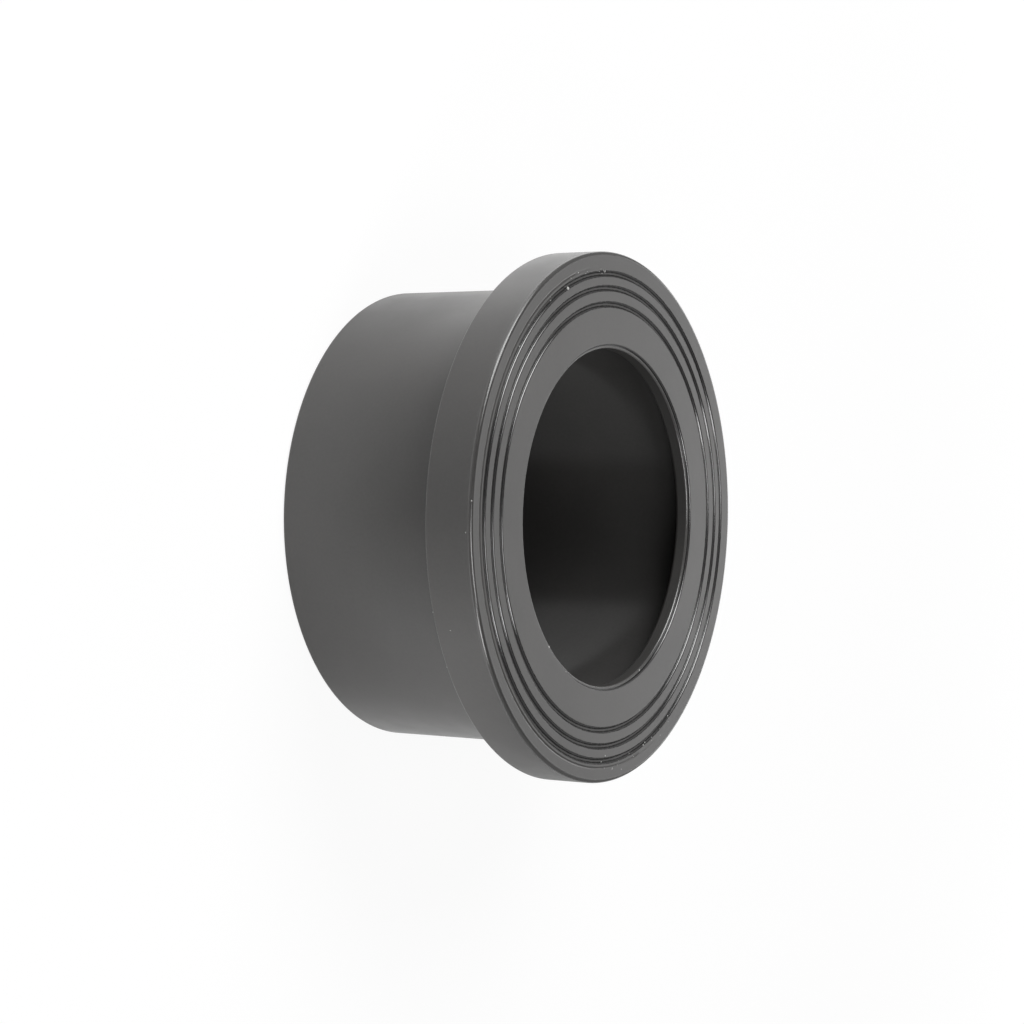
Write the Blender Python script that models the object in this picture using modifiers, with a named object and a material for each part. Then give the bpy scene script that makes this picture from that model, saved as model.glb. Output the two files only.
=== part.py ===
"""A moulded plastic lap joint stub end for 90 mm pipe, with a cement socket and a grooved gasket face.

The fitting is one piece, turned about Z. It stands on the mouth of its socket, which is at z = 0,
and its gasket face looks up. A loose backing ring slides over the hub and pulls on the collar.
"""

import math

import bpy
from mathutils import Vector

# Socket that the pipe is cemented into. The play is what the socket's diameter has over the pipe's.
PIPE_DIAMETER = 0.0900
PLAY_AT_ROOT = 0.0001
PLAY_AT_MOUTH = 0.0006
SOCKET_DEPTH = 0.0522
LEAD_IN_WIDTH = 0.0015
LEAD_IN_LENGTH = 0.0026

# Stop that the pipe's end meets, and the bore through it, with a narrow ledge at the gasket face
STOP_HEIGHT = 0.00525
STOP_THICKNESS = 0.0040
LEDGE_WIDTH = 0.0008
LEDGE_DEPTH = 0.0005

# Hub, and the collar that the backing ring bears on
HUB_WALL = 0.00915
COLLAR_REACH = 0.0083
COLLAR_THICKNESS = 0.0120

# Rings cut in the gasket face, each set in from the rim by so much to its middle
INNER_GROOVE_INSET = 0.0124
MIDDLE_GROOVE_INSET = 0.0086
OUTER_GROOVE_INSET = 0.0052
GROOVE_WIDTH = 0.0012
GROOVE_FLOOR = 0.0008
GROOVE_DEPTH = 0.0005

# Radii of the rounded edges
FACE_EDGE_RADIUS = 0.0009
BACK_EDGE_RADIUS = 0.0006
HUB_FILLET_RADIUS = 0.0020
HUB_END_RADIUS = 0.0008
SOCKET_ROOT_RADIUS = 0.0010
STOP_EDGE_RADIUS = 0.0010
LEDGE_EDGE_RADIUS = 0.0002
LAND_EDGE_RADIUS = 0.0004

STEPS_ROUND = 96
MERGE_DISTANCE = 0.00001

# Dark grey moulding compound
PLASTIC_COLOUR = (0.098, 0.097, 0.094, 1.0)
PLASTIC_ROUGHNESS = 0.42


def clear_scene():
    for obj in list(bpy.data.objects):
        bpy.data.objects.remove(obj)


def plastic():
    material = bpy.data.materials.new("grey_plastic")
    material.use_nodes = True
    shader = material.node_tree.nodes["Principled BSDF"]
    shader.inputs["Base Color"].default_value = PLASTIC_COLOUR
    shader.inputs["Roughness"].default_value = PLASTIC_ROUGHNESS
    shader.inputs["Metallic"].default_value = 0.0
    return material


def rounded(corners):
    """Points of a closed outline, from corners given as (radius, height, edge radius, facets)."""
    points = []
    for before, corner, after in zip(corners[-1:] + corners[:-1], corners, corners[1:] + corners[:1]):
        tip = Vector(corner[:2])
        edge_radius, facets = corner[2:]
        if not facets:
            points.append(tip)
            continue
        back = (Vector(before[:2]) - tip).normalized()
        onward = (Vector(after[:2]) - tip).normalized()
        half_angle = back.angle(onward) / 2
        reach = edge_radius / math.tan(half_angle)
        centre = tip + (back + onward).normalized() * edge_radius / math.sin(half_angle)
        start = tip + back * reach - centre
        end = tip + onward * reach - centre
        for step in range(facets + 1):
            points.append(centre + start.slerp(end, step / facets) * edge_radius)
    return points


def socket_corners(root_radius, mouth_radius, hub_radius):
    """The hub's end, then up the inside of the socket to its root."""
    return [
        (hub_radius, 0, HUB_END_RADIUS, 2),
        (mouth_radius + LEAD_IN_WIDTH, 0, 0, 0),
        (mouth_radius, LEAD_IN_LENGTH, 0, 0),
        (root_radius, SOCKET_DEPTH, SOCKET_ROOT_RADIUS, 2),
    ]


def stop_corners(bore_radius, length):
    """The pipe stop: its back edge, the bore, then the ledge sunk in the edge of the gasket face."""
    land_radius = bore_radius + LEDGE_WIDTH
    ledge = length - LEDGE_DEPTH
    return [
        (bore_radius, SOCKET_DEPTH, STOP_EDGE_RADIUS, 3),
        (bore_radius, ledge, LEDGE_EDGE_RADIUS, 1),
        (land_radius, ledge, 0, 0),
        (land_radius, length, LAND_EDGE_RADIUS, 2),
    ]


def groove_corners(collar_radius, length):
    """The rings of the gasket face, from the innermost outwards: steep walls and a flat floor."""
    floor = length - GROOVE_DEPTH
    corners = []
    for inset in (INNER_GROOVE_INSET, MIDDLE_GROOVE_INSET, OUTER_GROOVE_INSET):
        middle = collar_radius - inset
        corners += [
            (middle - GROOVE_WIDTH / 2, length, 0, 0),
            (middle - GROOVE_FLOOR / 2, floor, 0, 0),
            (middle + GROOVE_FLOOR / 2, floor, 0, 0),
            (middle + GROOVE_WIDTH / 2, length, 0, 0),
        ]
    return corners


def collar_corners(hub_radius, collar_radius, length):
    """The rim, from the gasket face down to the fillet where the collar meets the hub."""
    back = length - COLLAR_THICKNESS
    return [
        (collar_radius, length, FACE_EDGE_RADIUS, 3),
        (collar_radius, back, BACK_EDGE_RADIUS, 2),
        (hub_radius, back, HUB_FILLET_RADIUS, 4),
    ]


def stub_end_outline():
    root_radius = (PIPE_DIAMETER + PLAY_AT_ROOT) / 2
    mouth_radius = (PIPE_DIAMETER + PLAY_AT_MOUTH) / 2
    bore_radius = root_radius - STOP_HEIGHT
    hub_radius = root_radius + HUB_WALL
    collar_radius = hub_radius + COLLAR_REACH
    length = SOCKET_DEPTH + STOP_THICKNESS
    return rounded(
        collar_corners(hub_radius, collar_radius, length)
        + socket_corners(root_radius, mouth_radius, hub_radius)
        + stop_corners(bore_radius, length)
        + groove_corners(collar_radius, length)
    )


def turned(name, outline, collection):
    """A solid of revolution about Z from a closed outline of radii and heights."""
    points = [(radius, 0, height) for radius, height in outline]
    edges = [(index, (index + 1) % len(points)) for index in range(len(points))]
    profile = bpy.data.meshes.new(name)
    profile.from_pydata(points, edges, [])
    solid = bpy.data.objects.new(name, profile)
    collection.objects.link(solid)
    turn = solid.modifiers.new("Turn", "SCREW")
    turn.angle = math.tau
    turn.steps = STEPS_ROUND
    turn.render_steps = STEPS_ROUND
    turn.use_merge_vertices = True
    turn.merge_threshold = MERGE_DISTANCE
    return solid


def main():
    clear_scene()
    collection = bpy.data.collections.new("lap_joint_stub_end")
    bpy.context.scene.collection.children.link(collection)
    stub_end = turned("stub_end", stub_end_outline(), collection)
    stub_end.data.materials.append(plastic())


main()
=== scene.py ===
"""A dark grey plastic stub end standing on its socket's mouth, seen at the photograph's angle."""

import math
import random

import bmesh
import bpy
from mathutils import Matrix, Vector, noise


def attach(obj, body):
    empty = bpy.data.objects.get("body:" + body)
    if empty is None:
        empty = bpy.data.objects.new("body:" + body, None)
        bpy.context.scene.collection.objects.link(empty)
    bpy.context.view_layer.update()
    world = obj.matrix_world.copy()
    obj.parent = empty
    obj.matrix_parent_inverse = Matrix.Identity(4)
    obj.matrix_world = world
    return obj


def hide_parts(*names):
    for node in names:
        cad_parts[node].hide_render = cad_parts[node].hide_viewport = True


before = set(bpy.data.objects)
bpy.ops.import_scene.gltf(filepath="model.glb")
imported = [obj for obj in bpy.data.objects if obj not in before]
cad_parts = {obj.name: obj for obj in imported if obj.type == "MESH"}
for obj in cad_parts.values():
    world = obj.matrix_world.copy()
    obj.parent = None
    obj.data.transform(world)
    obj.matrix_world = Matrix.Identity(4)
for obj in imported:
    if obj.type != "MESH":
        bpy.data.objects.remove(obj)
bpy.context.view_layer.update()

# The moulding is the whole fitting: a plain hub with a cement socket, and a wide collar. It is
# injection moulded in dark grey rigid PVC, and its gasket face is then turned flat and grooved.
# It is made here as it is turned: half of its section, with rounded corners, spun about Z.
FACE_HEIGHT = 0.05614
COLLAR_BACK = 0.0442
COLLAR_RADIUS = 0.0625
HUB_RADIUS = 0.0542
MOUTH_RADIUS = 0.0453
LEAD_IN_WIDTH = 0.0015
LEAD_IN_LENGTH = 0.0026
ROOT_RADIUS = 0.04505
SOCKET_DEPTH = 0.0522
BORE_RADIUS = 0.0398
LEDGE_WIDTH = 0.0008
LEDGE_DEPTH = 0.0005
GROOVE_INSETS = (0.0124, 0.0086, 0.0052)
GROOVE_WIDTH = 0.0012
GROOVE_FLOOR = 0.0008
GROOVE_DEPTH = 0.0005

# Radii of the rounded corners
HUB_END_ROUNDING = 0.0008
MOUTH_ROUNDING = 0.0002
LEAD_IN_ROUNDING = 0.0004
SOCKET_ROOT_ROUNDING = 0.0010
STOP_ROUNDING = 0.0010
LEDGE_ROUNDING = 0.0004
GROOVE_EDGE_ROUNDING = 0.00038
GROOVE_FLOOR_ROUNDING = 0.0001
FACE_EDGE_ROUNDING = 0.0009
BACK_EDGE_ROUNDING = 0.0006
FILLET_ROUNDING = 0.0020

STEPS_ROUND = 512
FLAT_MARGIN = 0.00003
SAME_PLACE = 1e-6
SMOOTH_BELOW = 40

# The burr: radii of the plain points that its valley needs, angles in degrees, and depths
RIDGE_RADII = (0.05855, 0.0586, 0.05895, 0.0593, 0.05935)
BURR_START = 186
BURR_END = 388
BURR_FADE = 16
BURR_DEPTH = 0.00024
BURR_RISE = 0.00005
BURR_RAGGED = 0.00006
BURR_REACH_IN = 0.00005
BURR_REACH_OUT = 0.0002

# Corners of the section, from the hub's end round the socket, the bore and the face to the collar's
# back, each as radius, height, the radius of its rounding and how many facets that has
ledge = FACE_HEIGHT - LEDGE_DEPTH
ledge_end = BORE_RADIUS + LEDGE_WIDTH
half_width = GROOVE_WIDTH / 2
half_floor = GROOVE_FLOOR / 2
corners = [
    (HUB_RADIUS, 0.0, HUB_END_ROUNDING, 6),
    (MOUTH_RADIUS + LEAD_IN_WIDTH, 0.0, MOUTH_ROUNDING, 3),
    (MOUTH_RADIUS, LEAD_IN_LENGTH, LEAD_IN_ROUNDING, 4),
    (ROOT_RADIUS, SOCKET_DEPTH, SOCKET_ROOT_ROUNDING, 6),
    (BORE_RADIUS, SOCKET_DEPTH, STOP_ROUNDING, 8),
    (BORE_RADIUS, ledge, LEDGE_ROUNDING, 6),
    (ledge_end, ledge, 0, 0),
    (ledge_end, FACE_HEIGHT, LEDGE_ROUNDING, 6),
]
for inset in GROOVE_INSETS:
    middle = COLLAR_RADIUS - inset
    corners += [
        (middle - half_width, FACE_HEIGHT, GROOVE_EDGE_ROUNDING, 6),
        (middle - half_floor, FACE_HEIGHT - GROOVE_DEPTH, GROOVE_FLOOR_ROUNDING, 3),
        (middle + half_floor, FACE_HEIGHT - GROOVE_DEPTH, GROOVE_FLOOR_ROUNDING, 3),
        (middle + half_width, FACE_HEIGHT, GROOVE_EDGE_ROUNDING, 6),
    ]
corners += [(radius, FACE_HEIGHT, 0, 0) for radius in RIDGE_RADII]
corners += [
    (COLLAR_RADIUS, FACE_HEIGHT, FACE_EDGE_ROUNDING, 10),
    (COLLAR_RADIUS, COLLAR_BACK, BACK_EDGE_ROUNDING, 6),
    (HUB_RADIUS, COLLAR_BACK, FILLET_ROUNDING, 8),
]


def between_plain_points(outline):
    """Set a plain point on both sides of each rounded corner, so that the flats beside it stay flat."""
    points = []
    for before, corner, after in zip(outline[-1:] + outline[:-1], outline, outline[1:] + outline[:1]):
        if not corner[3]:
            points.append(corner)
            continue
        tip = Vector(corner[:2])
        back = Vector(before[:2]) - tip
        onward = Vector(after[:2]) - tip
        reach = corner[2] / math.tan(back.angle(onward) / 2) + FLAT_MARGIN
        points.append((*(tip + back.normalized() * reach), 0, 0))
        points.append(corner)
        points.append((*(tip + onward.normalized() * reach), 0, 0))
    return points


def select_section_corner(mesh, radius, height):
    """Select only the section's vertex at a radius and a height."""
    shape = bmesh.from_edit_mesh(mesh)
    for vertex in shape.verts:
        vertex.select_set(math.hypot(vertex.co.x - radius, vertex.co.z - height) < SAME_PLACE)
    shape.select_flush_mode()
    bmesh.update_edit_mesh(mesh)


def draw_section(name, outline):
    """Extrude a point from corner to corner, and close the ring that it leaves."""
    bpy.ops.object.select_all(action="DESELECT")
    bpy.ops.mesh.primitive_plane_add(size=0.01, location=(0, 0, 0))
    piece = bpy.context.object
    piece.name = name
    piece.data.name = name
    bpy.ops.object.mode_set(mode="EDIT")
    bpy.context.tool_settings.mesh_select_mode = (True, False, False)
    bpy.ops.mesh.select_all(action="SELECT")
    bpy.ops.mesh.merge(type="CENTER")
    bpy.ops.transform.translate(value=(outline[0][0], 0, outline[0][1]))
    for before, corner in zip(outline, outline[1:]):
        step = (corner[0] - before[0], 0, corner[1] - before[1])
        bpy.ops.mesh.extrude_region_move(TRANSFORM_OT_translate={"value": step})
    shape = bmesh.from_edit_mesh(piece.data)
    for vertex in shape.verts:
        vertex.select_set(len(vertex.link_edges) == 1)
    shape.select_flush_mode()
    bmesh.update_edit_mesh(piece.data)
    bpy.ops.mesh.edge_face_add()
    return piece


def round_section(piece, outline):
    """Round each corner of the section with an arc of its own radius."""
    for radius, height, rounding, facets in outline:
        if not facets:
            continue
        select_section_corner(piece.data, radius, height)
        shape = bmesh.from_edit_mesh(piece.data)
        tip = [vertex for vertex in shape.verts if vertex.select][0]
        ways = [(edge.other_vert(tip).co - tip.co).normalized() for edge in tip.link_edges]
        reach = rounding / math.tan(ways[0].angle(ways[1]) / 2)
        bpy.ops.mesh.bevel(affect="VERTICES", offset=reach, segments=facets, clamp_overlap=False)


def turn_section():
    """Spin the section about Z into one closed skin that faces outwards."""
    bpy.ops.mesh.select_all(action="SELECT")
    bpy.ops.mesh.spin(steps=STEPS_ROUND, angle=math.tau, center=(0, 0, 0), axis=(0, 0, 1))
    bpy.ops.mesh.select_all(action="SELECT")
    bpy.ops.mesh.remove_doubles(threshold=SAME_PLACE)
    bpy.ops.mesh.normals_make_consistent(inside=False)


def raise_burr(piece):
    """The cutter has torn up a thin ridge along the outer groove, with a valley on its far side."""
    shape = bmesh.from_edit_mesh(piece.data)
    edge = COLLAR_RADIUS - GROOVE_INSETS[-1] + GROOVE_WIDTH / 2
    length = BURR_END - BURR_START
    for vertex in shape.verts:
        if vertex.co.z < FACE_HEIGHT - 0.00001:
            continue
        radius = math.hypot(vertex.co.x, vertex.co.y)
        turn = math.degrees(math.atan2(vertex.co.y, vertex.co.x)) % 360
        along = (turn - BURR_START) % 360
        if along > length:
            continue
        fade = min(1, min(along, length - along) / BURR_FADE)
        torn = 0.75 + 0.3 * noise.noise(vertex.co * 900)
        if abs(radius - RIDGE_RADII[2]) < 0.00002:
            vertex.co.z -= BURR_DEPTH * fade * torn
        elif abs(radius - edge) < BURR_REACH_OUT and radius > edge - BURR_REACH_IN:
            rough = BURR_RAGGED * noise.noise(vertex.co * 2500) * fade
            vertex.co.x *= 1 + rough / radius
            vertex.co.y *= 1 + rough / radius
            vertex.co.z += BURR_RISE * fade * min(1, torn)
    bmesh.update_edit_mesh(piece.data)
    bpy.ops.object.mode_set(mode="OBJECT")
    bpy.ops.object.shade_smooth_by_angle(angle=math.radians(SMOOTH_BELOW))


def math_step(tree, operation, *values):
    """One Math node of a node tree, on links and numbers."""
    step = tree.nodes.new("ShaderNodeMath")
    step.operation = operation
    for socket, value in zip(step.inputs, values):
        if isinstance(value, (int, float)):
            socket.default_value = value
        else:
            tree.links.new(value, socket)
    return step.outputs[0]


def range_step(tree, value, low, high, low_value, high_value, interpolation="LINEAR"):
    """One Map Range node: from the range between two numbers to the range between two others."""
    step = tree.nodes.new("ShaderNodeMapRange")
    step.interpolation_type = interpolation
    step.inputs["From Min"].default_value = low
    step.inputs["From Max"].default_value = high
    step.inputs["To Min"].default_value = low_value
    step.inputs["To Max"].default_value = high_value
    tree.links.new(value, step.inputs["Value"])
    return step.outputs["Result"]


def ramp_step(tree, value, stops):
    """One Color Ramp node in grey, with stops given as a position and a brightness."""
    band = tree.nodes.new("ShaderNodeValToRGB")
    elements = band.color_ramp.elements
    while len(elements) < len(stops):
        elements.new(0.5)
    for element, (position, grey) in zip(elements, stops):
        element.position = position
        element.color = (grey, grey, grey, 1)
    tree.links.new(value, band.inputs["Fac"])
    return band.outputs["Color"]


def vector_length(tree, vector):
    """The length of a vector."""
    step = tree.nodes.new("ShaderNodeVectorMath")
    step.operation = "LENGTH"
    tree.links.new(vector, step.inputs[0])
    return step.outputs["Value"]


# The compound's grey, from the darker to the lighter mottling
PVC_DARK = (0.0795, 0.0778, 0.0760, 1)
PVC_LIGHT = (0.0928, 0.0900, 0.0872, 1)
PVC_IOR = 1.52

# Shares of the base colour that painted shade takes away in the grooves and on the rim's rounded edge
PAINTED_GROOVE_SHADE = 0.84
PAINTED_RIM_SHADE = 0.17

# What changes roughness: shares that the burnished edges and the polished socket take away, and
# the share that the grooves' painted-shade mask adds
BURNISH_SMOOTHS = 0.45
SOCKET_SMOOTHS = 0.55
PAINTED_SHADE_ROUGHENS = 1.2

# How much the grooves' painted-shade mask dulls the gleam, and the burnished skin that gives the cut edges
# theirs
PAINTED_SHADE_DULLS = 0.95
GLEAM_IOR = 1.75
GLEAM_ROUGHNESS = 0.16


def rigid_pvc():
    """Semi-matt dark grey moulding compound: mottled, turned on the face, with painted shade in the grooves
    and on the rim's edge.
    """
    material = bpy.data.materials.new("dark_grey_rigid_pvc")
    material.use_nodes = True
    tree = material.node_tree
    nodes = tree.nodes
    links = tree.links
    shader = nodes["Principled BSDF"]
    shader.inputs["IOR"].default_value = PVC_IOR
    place = nodes.new("ShaderNodeTexCoord").outputs["Object"]

    def cloud(scale, detail, low, high, low_value, high_value):
        """A noise pattern brought to the range between two values."""
        pattern = nodes.new("ShaderNodeTexNoise")
        pattern.inputs["Scale"].default_value = scale
        pattern.inputs["Detail"].default_value = detail
        links.new(place, pattern.inputs["Vector"])
        return range_step(tree, pattern.outputs["Fac"], low, high, low_value, high_value)

    def combine(operation, *values):
        return math_step(tree, operation, *values)

    def ramp(value, low, high, stops):
        """A grey ramp over a length, with stops at places in metres."""
        span = range_step(tree, value, low, high, 0.0, 1.0)
        return ramp_step(tree, span, [((at - low) / (high - low), grey) for at, grey in stops])

    flat = nodes.new("ShaderNodeVectorMath")
    flat.operation = "MULTIPLY"
    flat.inputs[1].default_value = (1, 1, 0)
    links.new(place, flat.inputs[0])
    radius = vector_length(tree, flat.outputs["Vector"])
    split = nodes.new("ShaderNodeSeparateXYZ")
    links.new(place, split.inputs["Vector"])
    height = split.outputs["Z"]

    # Distance from the middle of the nearest groove
    nearest = None
    for inset in GROOVE_INSETS:
        off = combine("ABSOLUTE", combine("SUBTRACT", radius, COLLAR_RADIUS - inset))
        nearest = combine("MINIMUM", nearest, off) if nearest else off
    on_face = ramp(
        height,
        FACE_HEIGHT - 0.001,
        FACE_HEIGHT,
        [(FACE_HEIGHT - 0.0008, 0.0), (FACE_HEIGHT - 0.0006, 1.0)],
    )

    # Painted shade: the colour is darkened on the walls and in the corners of the grooves and of the ledge
    # at the bore, where shade falls
    ragged = combine("ADD", nearest, cloud(1300.0, 3.0, 0.30, 0.70, -0.00006, 0.00006))
    in_grooves = ramp(
        ragged,
        0.0,
        0.0012,
        [
            (half_width - 0.00042, 0.35),
            (half_width - 0.00032, 1.0),
            (half_width + 0.00009, 1.0),
            (half_width + 0.0002, 0.0),
        ],
    )
    at_ledge = ramp(
        radius,
        BORE_RADIUS,
        BORE_RADIUS + 0.002,
        [
            (ledge_end - 0.00016, 0.0),
            (ledge_end - 0.0001, 1.0),
            (ledge_end + 0.0001, 1.0),
            (ledge_end + 0.00032, 0.0),
        ],
    )
    painted_groove_shade = combine("MULTIPLY", combine("MAXIMUM", in_grooves, at_ledge), on_face)

    # The cutter and handling have left the edges smooth. The rim's rounded edge has painted shade: its
    # colour is made a little darker
    groove_edges = ramp(
        nearest,
        0.0,
        0.0012,
        [
            (half_width - 0.00024, 0.0),
            (half_width - 0.00018, 1.0),
            (half_width + 0.00001, 1.0),
            (half_width + 0.00008, 0.0),
        ],
    )
    ledge_edges = ramp(
        radius,
        BORE_RADIUS - 0.0005,
        BORE_RADIUS + 0.0020,
        [
            (BORE_RADIUS + 0.00014, 1.0),
            (BORE_RADIUS + 0.00022, 0.0),
            (ledge_end - 0.00008, 0.0),
            (ledge_end - 0.00002, 1.0),
            (ledge_end + 0.00014, 1.0),
            (ledge_end + 0.00022, 0.0),
        ],
    )
    rim_edge = combine(
        "MULTIPLY",
        *[
            ramp(value, end - 0.002, end, [(end - 0.0010, 0.0), (end - 0.0008, 1.0)])
            for value, end in ((radius, COLLAR_RADIUS), (height, FACE_HEIGHT))
        ],
    )
    cut = combine("MULTIPLY", combine("MAXIMUM", groove_edges, ledge_edges), on_face)
    edges = combine("MAXIMUM", cut, rim_edge)
    # The painted shade away from the cut edges, which also makes the surface rougher and less glossy there
    painted_shade_off_edges = combine("MAXIMUM", combine("SUBTRACT", painted_groove_shade, cut), 0.0)

    mottle = cloud(42.0, 5.0, 0.30, 0.70, 0.0, 1.0)
    grain = cloud(1500.0, 2.0, 0.30, 0.70, 0.965, 1.035)
    tint = nodes.new("ShaderNodeMix")
    tint.data_type = "RGBA"
    tint.inputs["A"].default_value = PVC_DARK
    tint.inputs["B"].default_value = PVC_LIGHT
    links.new(mottle, tint.inputs["Factor"])
    # Painted shade in the grooves and at the ledge: the base colour is darkened there
    painted_groove_shade_factor = combine("MULTIPLY_ADD", painted_groove_shade, -PAINTED_GROOVE_SHADE, 1.0)
    # Painted shade on the rim's rounded edge: its base colour is darkened
    plain = combine("MULTIPLY_ADD", rim_edge, -PAINTED_RIM_SHADE, 1.0)
    shade = combine("MULTIPLY", combine("MULTIPLY", plain, painted_groove_shade_factor), grain)
    colour = nodes.new("ShaderNodeVectorMath")
    colour.operation = "SCALE"
    links.new(tint.outputs["Result"], colour.inputs[0])
    links.new(shade, colour.inputs["Scale"])
    links.new(colour.outputs["Vector"], shader.inputs["Base Color"])

    # The socket was moulded against a polished core
    in_socket = combine(
        "MULTIPLY",
        ramp(radius, 0.04, 0.06, [(0.0476, 1.0), (0.0480, 0.0)]),
        ramp(height, 0.0, 0.06, [(0.0515, 1.0), (0.0525, 0.0)]),
    )
    polished = combine("MULTIPLY_ADD", in_socket, -SOCKET_SMOOTHS, 1.0)
    burnished = combine("MULTIPLY_ADD", edges, -BURNISH_SMOOTHS, 1.0)
    dull = combine("MULTIPLY_ADD", painted_shade_off_edges, PAINTED_SHADE_ROUGHENS, 1.0)
    smooth = combine("MULTIPLY", burnished, polished)
    skin_roughness = cloud(90.0, 4.0, 0.30, 0.70, 0.28, 0.36)
    matt = combine("MULTIPLY", skin_roughness, combine("MULTIPLY", smooth, dull))
    links.new(matt, shader.inputs["Roughness"])
    undimmed = combine("SUBTRACT", edges, combine("MULTIPLY", painted_shade_off_edges, PAINTED_SHADE_DULLS))
    links.new(combine("MULTIPLY_ADD", undimmed, 0.5, 0.5), shader.inputs["Specular IOR Level"])
    shader.inputs["Coat IOR"].default_value = GLEAM_IOR
    shader.inputs["Coat Roughness"].default_value = GLEAM_ROUGHNESS
    links.new(cut, shader.inputs["Coat Weight"])

    # The cutter has left rings on the face. The moulded skin has a very fine grain.
    rings = nodes.new("ShaderNodeTexNoise")
    rings.noise_dimensions = "1D"
    rings.inputs["Scale"].default_value = 3200.0
    rings.inputs["Detail"].default_value = 3.0
    links.new(radius, rings.inputs["W"])
    turned = combine("MULTIPLY", rings.outputs["Fac"], on_face)
    skin = cloud(2600.0, 2.0, 0.0, 1.0, 0.0, 0.35)
    relief = nodes.new("ShaderNodeBump")
    relief.inputs["Strength"].default_value = 0.35
    relief.inputs["Distance"].default_value = 0.00001
    links.new(combine("ADD", turned, skin), relief.inputs["Height"])
    links.new(relief.outputs["Normal"], shader.inputs["Normal"])
    return material


outline = between_plain_points(corners)
moulding = draw_section("moulding", outline)
round_section(moulding, outline)
turn_section()
raise_burr(moulding)
moulding.data.materials.append(rigid_pvc())
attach(moulding, "root")
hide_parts("stub_end")

# The swarf is crumbs of the same PVC that the cutter has torn off, paler where they are torn.
# Static holds them along the outer groove, at the bore's edge and on the rim. Each is a small
# flat lump, sunk a little into the surface that it clings to.
TOP_OF_ALL = 0.0562
TOP_MARGIN = 0.000002
CRUMB_TORN = 0.45
CRUMB_FLATNESS = 0.65
CRUMB_DARK = (0.35, 0.35, 0.34, 1)
CRUMB_LIGHT = (0.75, 0.75, 0.73, 1)

# Single crumbs, each as radius, angle in degrees, height and width
crumbs = [
    (0.0568, 203.6, 0.05600, 0.00090),
    (0.0578, 185.5, 0.05600, 0.00060),
    (0.0561, 359.3, 0.05602, 0.00060),
    (0.0595, 2.7, 0.05602, 0.00062),
    (0.0604, 6.9, 0.05602, 0.00052),
    (0.0407, 316.7, 0.05600, 0.00064),
    (0.0408, 330.5, 0.05602, 0.00052),
    (0.0400, 23.6, 0.05576, 0.00050),
    (0.0621, 267.2, 0.05590, 0.00042),
    (0.06237, 273.5, 0.05475, 0.00046),
    (0.0622, 290.1, 0.04440, 0.00044),
    (0.0622, 302.7, 0.04444, 0.00040),
    (0.0624, 293.9, 0.04810, 0.00034),
]

# Finer ones strewn along two stretches of the outer groove
scatter = random.Random(7)
for first_turn, last_turn, count in ((184, 232, 13), (352, 398, 20)):
    for _ in range(count):
        width = scatter.uniform(0.00016, 0.00036)
        out = COLLAR_RADIUS - GROOVE_INSETS[-1] + abs(scatter.gauss(0.0006, 0.0006))
        turn = scatter.uniform(first_turn, last_turn)
        crumbs.append((out, turn, TOP_OF_ALL - 0.4 * width, width))


def add_crumb(piece, radius, turn, height, width):
    """One torn lump, flatter than it is wide, kept below the top of the face's burr."""
    around = math.radians(turn)
    place = Vector((radius * math.cos(around), radius * math.sin(around), height))
    bpy.ops.mesh.select_all(action="DESELECT")
    bpy.ops.mesh.primitive_ico_sphere_add(subdivisions=2, radius=width / 2, location=place)
    shape = bmesh.from_edit_mesh(piece.data)
    for vertex in shape.verts:
        if not vertex.select:
            continue
        away = vertex.co - place
        away *= 1 + CRUMB_TORN * noise.noise(vertex.co / width * 1.7)
        away.z *= CRUMB_FLATNESS
        vertex.co = place + away
        vertex.co.z = min(vertex.co.z, TOP_OF_ALL - TOP_MARGIN)
    bmesh.update_edit_mesh(piece.data)


def torn_pvc():
    """Pale grey torn plastic, lighter and darker from crumb to crumb."""
    material = bpy.data.materials.new("torn_pvc")
    material.use_nodes = True
    nodes = material.node_tree.nodes
    links = material.node_tree.links
    shader = nodes["Principled BSDF"]
    shader.inputs["Roughness"].default_value = 0.55
    pattern = nodes.new("ShaderNodeTexNoise")
    pattern.inputs["Scale"].default_value = 500.0
    links.new(nodes.new("ShaderNodeTexCoord").outputs["Object"], pattern.inputs["Vector"])
    band = nodes.new("ShaderNodeValToRGB")
    for element, position, grey in zip(band.color_ramp.elements, (0.35, 0.65), (CRUMB_DARK, CRUMB_LIGHT)):
        element.position = position
        element.color = grey
    links.new(pattern.outputs["Fac"], band.inputs["Fac"])
    links.new(band.outputs["Color"], shader.inputs["Base Color"])
    return material


bpy.ops.object.select_all(action="DESELECT")
bpy.ops.mesh.primitive_plane_add(size=0.01, location=(0, 0, 0))
swarf = bpy.context.object
swarf.name = "swarf"
swarf.data.name = "swarf"
bpy.ops.object.mode_set(mode="EDIT")
bpy.ops.mesh.select_all(action="SELECT")
bpy.ops.mesh.delete(type="VERT")
for radius, turn, height, width in crumbs:
    add_crumb(swarf, radius, turn, height, width)
bpy.ops.mesh.select_all(action="SELECT")
bpy.ops.mesh.normals_make_consistent(inside=False)
bpy.ops.object.mode_set(mode="OBJECT")
bpy.ops.object.shade_smooth()
swarf.data.materials.append(torn_pvc())
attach(swarf, "root")

# The floor is a plain white sheet under the hub's end. It shows as white to the camera and keeps
# the fitting's shadow. It has a round hole under the socket, which the hub covers, because light
# comes through the open socket in the photograph. Further out it glows only, so it has no horizon.
HOLE_RADIUS = 0.049
FLOOR_HEIGHT = -0.0002
FLOOR_GROWTH = 80
PAPER_COLOUR = (0.8, 0.8, 0.8, 1)
CAMERA_GLOW = 1.07
CAMERA_SHARE_NEAR = 0.85
CAMERA_SHARE_FAR = 1.0
CAMERA_FAR_STARTS = (0.30, 0.80)

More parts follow.
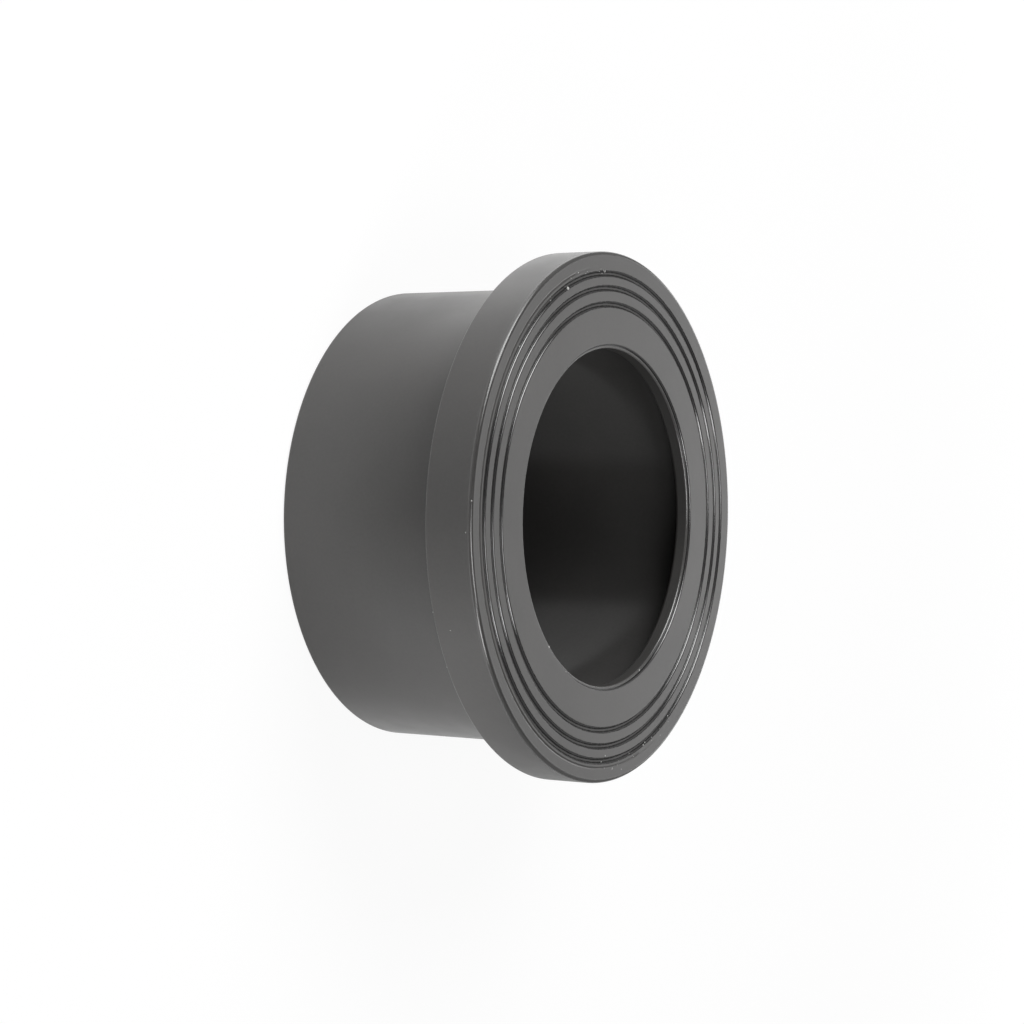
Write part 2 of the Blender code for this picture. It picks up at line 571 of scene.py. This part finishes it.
# In reflections the sheet is pale next to the fitting. Further out it is as bright or as dark as
# the studio that the photographed one shows, from direction to direction: the two rings have one
# brightness every 45 degrees from -180 to 180. Distances are from the axis.
MIRROR_NEAR = 0.56
MIRROR_MIDDLE = (1.20, 0.28, 0.02, 1.05, 0.65, 0.05, 0.20, 0.60, 1.20)
MIRROR_OUTER = (1.05, 0.39, 0.05, 1.05, 0.10, 0.05, 0.20, 0.60, 1.05)
MIRROR_FAR = 0.20
MIDDLE_STARTS = (0.074, 0.096)
OUTER_STARTS = (0.112, 0.140)
FAR_STARTS = (0.25, 0.50)


def white_paper():
    """Matt white paper, with a glow for the camera and another for reflections."""
    material = bpy.data.materials.new("white_paper")
    material.use_nodes = True
    tree = material.node_tree
    nodes = tree.nodes
    links = tree.links
    shader = nodes["Principled BSDF"]
    shader.inputs["Base Color"].default_value = PAPER_COLOUR
    shader.inputs["Roughness"].default_value = 1.0
    rays = nodes.new("ShaderNodeLightPath")
    place = nodes.new("ShaderNodeTexCoord").outputs["Object"]
    distance = vector_length(tree, place)
    split = nodes.new("ShaderNodeSeparateXYZ")
    links.new(place, split.inputs["Vector"])
    direction = math_step(tree, "ARCTAN2", split.outputs["Y"], split.outputs["X"])
    turn = range_step(tree, direction, -math.pi, math.pi, 0.0, 1.0)

    def ring(values):
        """Brightness from direction to direction."""
        last = len(values) - 1
        return ramp_step(tree, turn, [(index / last, value) for index, value in enumerate(values)])

    share = MIRROR_NEAR
    zones = (
        (ring(MIRROR_MIDDLE), MIDDLE_STARTS),
        (ring(MIRROR_OUTER), OUTER_STARTS),
        (MIRROR_FAR, FAR_STARTS),
    )
    for outside, starts in zones:
        change = nodes.new("ShaderNodeMix")
        change.data_type = "FLOAT"
        links.new(range_step(tree, distance, *starts, 0.0, 1.0, "SMOOTHSTEP"), change.inputs["Factor"])
        for socket, value in ((change.inputs["A"], share), (change.inputs["B"], outside)):
            if isinstance(value, float):
                socket.default_value = value
            else:
                links.new(value, socket)
        share = change.outputs["Result"]
    bent = math_step(tree, "MAXIMUM", rays.outputs["Is Glossy Ray"], rays.outputs["Is Transmission Ray"])
    mirror_glow = nodes.new("ShaderNodeEmission")
    links.new(math_step(tree, "MULTIPLY", bent, share), mirror_glow.inputs["Strength"])

    camera_glow = nodes.new("ShaderNodeEmission")
    camera_glow.inputs["Strength"].default_value = CAMERA_GLOW
    blend = nodes.new("ShaderNodeMixShader")
    seen = range_step(tree, distance, *CAMERA_FAR_STARTS, CAMERA_SHARE_NEAR, CAMERA_SHARE_FAR, "SMOOTHSTEP")
    links.new(math_step(tree, "MULTIPLY", rays.outputs["Is Camera Ray"], seen), blend.inputs["Fac"])
    links.new(shader.outputs[0], blend.inputs[1])
    links.new(camera_glow.outputs[0], blend.inputs[2])
    both = nodes.new("ShaderNodeAddShader")
    links.new(blend.outputs[0], both.inputs[0])
    links.new(mirror_glow.outputs[0], both.inputs[1])
    links.new(both.outputs[0], nodes["Material Output"].inputs["Surface"])
    return material


bpy.ops.object.select_all(action="DESELECT")
bpy.ops.mesh.primitive_circle_add(vertices=128, radius=HOLE_RADIUS, location=(0, 0, FLOOR_HEIGHT))
floor = bpy.context.object
floor.name = "floor"
bpy.ops.object.mode_set(mode="EDIT")
bpy.ops.mesh.select_all(action="SELECT")
bpy.ops.mesh.extrude_region_move()
bpy.ops.transform.resize(value=(FLOOR_GROWTH, FLOOR_GROWTH, 1))
bpy.ops.mesh.select_all(action="SELECT")
bpy.ops.mesh.normals_make_consistent(inside=False)
bpy.ops.object.mode_set(mode="OBJECT")
floor.data.materials.append(white_paper())


# Studio: a white room. Two large soft boxes stand one above the other on the picture's upper side.
# A smaller one stands on its lower side and one high above, and two cards stand behind the fitting.
LAMP_AIM = Vector((0, 0, 0.03))
LAMP_DISTANCE = 1.2


def studio_world():
    """White to the camera. In reflections the walls are pale, the ceiling is dark, and below the
    fitting the room is pale on two sides."""
    world = bpy.data.worlds.new("studio")
    bpy.context.scene.world = world
    world.use_nodes = True
    tree = world.node_tree
    background = tree.nodes["Background"]
    background.inputs["Color"].default_value = (1, 1, 1, 1)
    rays = tree.nodes.new("ShaderNodeLightPath")
    way = tree.nodes.new("ShaderNodeTexCoord")
    split = tree.nodes.new("ShaderNodeSeparateXYZ")
    tree.links.new(way.outputs["Generated"], split.inputs["Vector"])

    def part(axis, low, high, low_value, high_value):
        """A smooth step of brightness along one axis of the view direction."""
        return range_step(tree, split.outputs[axis], low, high, low_value, high_value, "SMOOTHSTEP")

    walls = part("Z", 0.45, 0.80, 0.30, 0.0)
    above = math_step(tree, "MULTIPLY", walls, part("Z", -0.02, 0.02, 0.0, 1.0))
    sides = math_step(tree, "ADD", part("X", 0.40, 0.62, 0.0, 0.18), part("X", -0.78, -0.66, 0.33, 0.0))
    below = math_step(tree, "MULTIPLY", sides, part("Z", -0.02, 0.02, 1.0, 0.0))
    bent = math_step(tree, "MAXIMUM", rays.outputs["Is Glossy Ray"], rays.outputs["Is Transmission Ray"])
    room = math_step(tree, "MULTIPLY", bent, math_step(tree, "ADD", above, below))
    shown = math_step(tree, "ADD", room, rays.outputs["Is Camera Ray"])
    tree.links.new(shown, background.inputs["Strength"])


def soft_box(name, azimuth, elevation, width, height, power):
    """A soft box at two angles in degrees, that faces the fitting."""
    lamp = bpy.data.lights.new(name, "AREA")
    lamp.shape = "RECTANGLE"
    lamp.size = width
    lamp.size_y = height
    lamp.energy = power
    holder = bpy.data.objects.new(name, lamp)
    bpy.context.scene.collection.objects.link(holder)
    around, up = math.radians(azimuth), math.radians(elevation)
    away = Vector((math.cos(up) * math.cos(around), math.cos(up) * math.sin(around), math.sin(up)))
    holder.location = LAMP_AIM + away * LAMP_DISTANCE
    holder.rotation_euler = (-away).to_track_quat("-Z", "Y").to_euler()


studio_world()
soft_box("key_box", 189, 25, 0.9, 0.9, 4.6)
soft_box("key_box_top", 192, 45, 0.7, 0.7, 6.3)
soft_box("fill_box", 320, 28, 0.34, 0.62, 3.2)
soft_box("top_box", 300, 65, 0.5, 0.5, 3.4)
soft_box("rear_card_low", 90, 17, 0.7, 0.35, 1.45)
soft_box("rear_card_high", 90, 40, 0.7, 0.4, 0.75)

# The camera stands where the photographer's did, and is turned on its side as the picture is.
camera = bpy.data.objects.new("camera", bpy.data.cameras.new("camera"))
bpy.context.scene.collection.objects.link(camera)
camera.location = (-0.00081, -0.52206, 0.34364)
camera.rotation_euler = (math.radians(-1.9589), math.radians(-58.8761), math.radians(92.2880))
camera.data.lens = 88.805
camera.data.sensor_width = 36
camera.data.clip_start = 0.01
bpy.context.scene.camera = camera

bpy.context.scene.view_settings.view_transform = "Standard"
